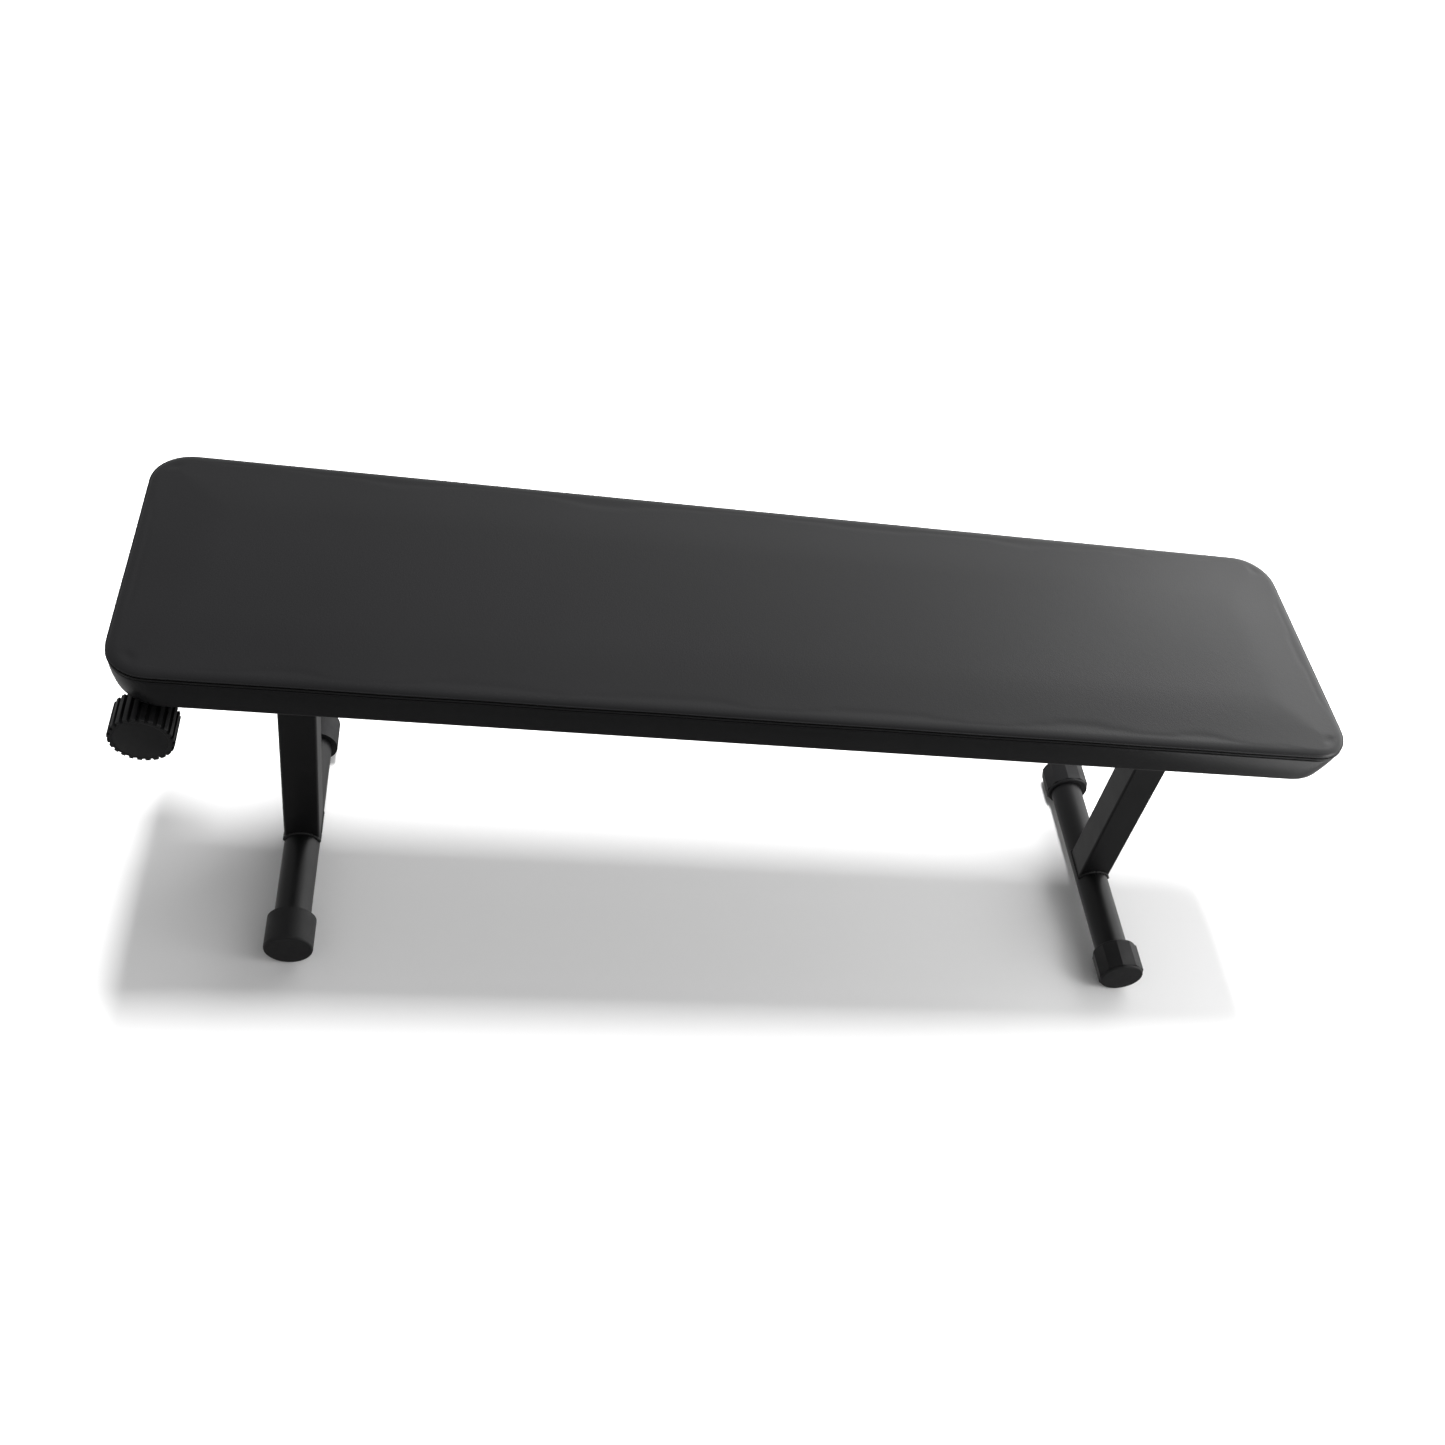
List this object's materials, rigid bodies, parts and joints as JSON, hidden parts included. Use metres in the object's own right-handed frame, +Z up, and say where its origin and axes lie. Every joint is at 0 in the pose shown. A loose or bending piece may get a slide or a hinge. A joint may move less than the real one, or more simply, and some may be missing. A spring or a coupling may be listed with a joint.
{
  "type": "weight bench",
  "caption": "Flat upholstered weight bench on two legs that fold under it, with side rollers at one end and turning levelling caps on one foot.",
  "frame": {"origin": "on the floor, under the middle of the pad", "axes": "+X along the pad from the roller end to the levelling end, +Y across it towards the clamp knobs, +Z up"},
  "size_m": [1.16, 0.312, 0.4349],
  "materials": {
    "upholstery": "satin black artificial leather",
    "foam": "open-cell cushion foam",
    "plywood": "raw plywood",
    "dust_cloth": "black non-woven cloth",
    "powder_coat": "satin black powder coat",
    "black_plastic": "matte black moulded plastic",
    "black_rubber": "matte black rubber",
    "zinc_steel": "bright zinc-plated steel",
    "black_steel": "black-oxide steel"
  },
  "bodies": {
    "bench_frame": {"main_beam": "powder_coat", "head_cross_tube": "powder_coat", "head_rail": "powder_coat", "mid_rail": "powder_coat", "tail_rail": "powder_coat", "rail_plugs": "black_plastic", "beam_end_plug": "black_plastic", "head_bracket": "powder_coat", "tail_bracket": "powder_coat", "frame_welds": "powder_coat", "cross_tube_inserts": "zinc_steel", "roller_bolts": "zinc_steel", "roller_washers": "zinc_steel", "pivot_bolts": "black_steel", "pivot_washers": "black_steel", "pivot_nuts": "black_steel", "pad_board": "plywood", "pad_foam": "foam", "pad_cover": "upholstery", "dust_cloth": "dust_cloth", "pad_staples": "zinc_steel", "pad_bolts": "zinc_steel", "pad_washers": "zinc_steel", "pad_t_nuts": "zinc_steel"},
    "head_leg": {"head_leg": "powder_coat", "head_leg_bush": "zinc_steel", "head_foot_tube": "powder_coat", "head_leg_welds": "powder_coat", "head_clamp_nut": "zinc_steel", "head_foot_caps": "black_rubber"},
    "tail_leg": {"tail_leg": "powder_coat", "tail_leg_bush": "zinc_steel", "tail_foot_tube": "powder_coat", "tail_leg_welds": "powder_coat", "tail_clamp_nut": "zinc_steel"},
    "head_clamp": {"head_knob": "black_plastic", "head_knob_stud": "zinc_steel", "head_knob_washer": "zinc_steel"},
    "tail_clamp": {"tail_knob": "black_plastic", "tail_knob_stud": "zinc_steel", "tail_knob_washer": "zinc_steel"},
    "front_level_cap": {"front_level_cap": "black_rubber"},
    "rear_level_cap": {"rear_level_cap": "black_rubber"},
    "front_roller": {"front_roller": "black_plastic", "front_roller_disc": "black_plastic"},
    "rear_roller": {"rear_roller": "black_plastic", "rear_roller_disc": "black_plastic"}
  },
  "joints": [
    {"name": "head_leg_fold", "type": "hinge", "parent": "bench_frame", "child": "head_leg", "pos_m": [-0.44, 0, 0.31], "axis": [0, -1, 0], "range_deg": [0, 90]},
    {"name": "tail_leg_fold", "type": "hinge", "parent": "bench_frame", "child": "tail_leg", "pos_m": [0.475, 0, 0.31], "axis": [0, 1, 0], "range_deg": [0, 95.22]},
    {"name": "head_clamp_turn", "type": "hinge", "parent": "head_leg", "child": "head_clamp", "pos_m": [-0.44, 0, 0.278], "axis": [0, -1, 0], "range_deg": [0, 270]},
    {"name": "tail_clamp_turn", "type": "hinge", "parent": "tail_leg", "child": "tail_clamp", "pos_m": [0.47791, 0, 0.27813], "axis": [0, -1, 0], "range_deg": [0, 270]},
    {"name": "front_level_turn", "type": "hinge", "parent": "tail_leg", "child": "front_level_cap", "pos_m": [0.501, 0, 0.0254], "axis": [0, -1, 0], "range_deg": [-90, 90]},
    {"name": "rear_level_turn", "type": "hinge", "parent": "tail_leg", "child": "rear_level_cap", "pos_m": [0.501, 0, 0.0254], "axis": [0, -1, 0], "range_deg": [-90, 90]},
    {"name": "front_roller_spin", "type": "hinge", "parent": "bench_frame", "child": "front_roller", "pos_m": [-0.552, 0, 0.355], "axis": [0, -1, 0], "continuous": true},
    {"name": "rear_roller_spin", "type": "hinge", "parent": "bench_frame", "child": "rear_roller", "pos_m": [-0.552, 0, 0.355], "axis": [0, -1, 0], "continuous": true}
  ]
}
